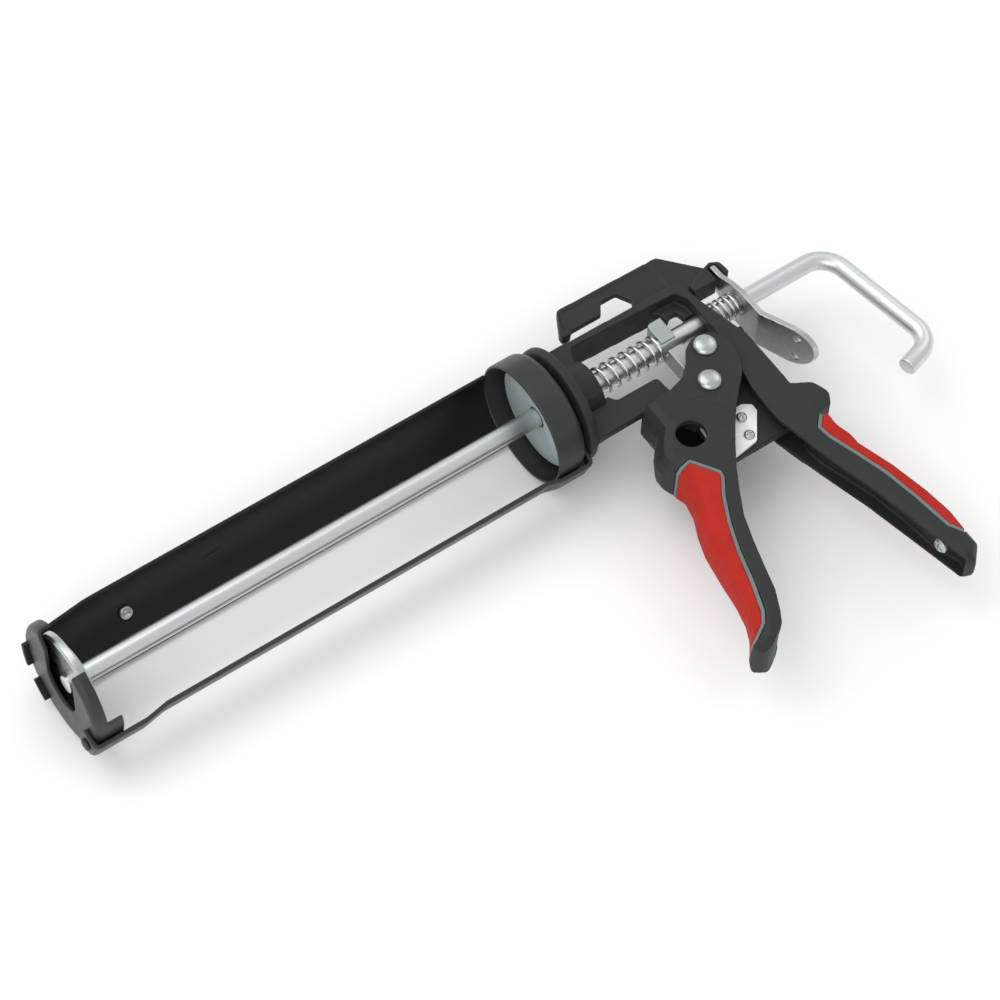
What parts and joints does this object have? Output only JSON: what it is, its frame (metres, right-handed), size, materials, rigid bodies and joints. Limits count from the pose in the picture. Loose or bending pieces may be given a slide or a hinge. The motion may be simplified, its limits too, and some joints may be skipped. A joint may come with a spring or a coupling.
{
  "type": "caulking gun",
  "caption": "Cradle caulking gun with a smooth hooked pull rod, plastic frame with hang hook, red soft grips, thumb release lever, open trough with front cap.",
  "frame": {"origin": "middle of the bounding box in plan, on the surface that the gun's cup and cap lie on", "axes": "+X along the pull rod toward its hook, +Y toward the hang hook (the handle hangs toward -Y), +Z toward the gun's left side, which faces up"},
  "size_m": [0.3892, 0.1933, 0.054],
  "materials": {
    "black_plastic": "fine satin texture, charcoal",
    "black_powder_coat": "semi-gloss powder coat with a fine orange peel",
    "red_rubber": "matte soft-touch grip",
    "grey_rubber": "matte narrow border",
    "bright_zinc": "bright zinc plate",
    "spring_steel": "drawn wire, zinc plated",
    "blade_steel": "ground sheet steel"
  },
  "bodies": {
    "frame": {"frame_housing": "black_plastic", "retaining_nut": "bright_zinc", "handle_grip": "red_rubber", "handle_border": "grey_rubber", "handle_screw": "bright_zinc", "cutter_blade": "blade_steel", "blade_screw_1": "bright_zinc", "blade_screw_2": "bright_zinc", "pivot_rivet": "bright_zinc", "main_spring": "spring_steel", "lever_spring": "spring_steel"},
    "barrel": {"rear_cup": "black_powder_coat", "backing_disc": "bright_zinc", "trough": "black_powder_coat", "front_cap": "black_powder_coat", "strap": "black_powder_coat", "strap_rivet": "black_powder_coat", "piercer_rivet": "bright_zinc"},
    "piercer": {"seal_piercer": "bright_zinc"},
    "plunger": {"pusher_disc": "bright_zinc", "pusher_backing": "bright_zinc"},
    "pull_rod": {"pull_rod": "bright_zinc"},
    "trigger": {"trigger": "black_plastic", "trigger_grip": "red_rubber", "trigger_border": "grey_rubber", "push_pin": "bright_zinc", "push_roller": "bright_zinc"},
    "drive_block": {"drive_block": "bright_zinc"},
    "release_lever": {"release_lever": "bright_zinc"}
  },
  "joints": [
    {"name": "barrel_spin", "type": "hinge", "parent": "frame", "child": "barrel", "pos_m": [0.0269, 0.0591, 0.027], "axis": [1, 0, 0], "continuous": true},
    {"name": "piercer_swing", "type": "hinge", "parent": "barrel", "child": "piercer", "pos_m": [-0.1481, 0.08396, 0.01206], "axis": [0, -0.8572, 0.515], "range_deg": [0, 170]},
    {"name": "plunger_slide", "type": "slide", "parent": "frame", "child": "plunger", "axis": [1, 0, 0], "range_m": [0, 0.214]},
    {"name": "rod_spin", "type": "hinge", "parent": "plunger", "child": "pull_rod", "pos_m": [-0.1861, 0.0591, 0.027], "axis": [1, 0, 0], "continuous": true},
    {"name": "trigger_pull", "type": "hinge", "parent": "frame", "child": "trigger", "pos_m": [0.0978, 0.0284, 0.027], "axis": [0, 0, 1], "range_deg": [0, 24], "stiffness_Nm_per_rad": 0.6, "springref_deg": -17.19},
    {"name": "drive_slide", "type": "slide", "parent": "frame", "child": "drive_block", "axis": [-1, 0, 0], "range_m": [0, 0.0068], "deforming": ["main_spring"]},
    {"name": "lever_press", "type": "hinge", "parent": "frame", "child": "release_lever", "pos_m": [0.1362, 0.0771, 0.027], "axis": [0, 0, -1], "range_deg": [0, 6], "stiffness_Nm_per_rad": 0.3, "springref_deg": -11.46, "deforming": ["lever_spring"]}
  ],
  "couplings": [
    {"joint": "drive_slide", "follows": "trigger_pull", "m_per_rad": 0.01616}
  ]
}
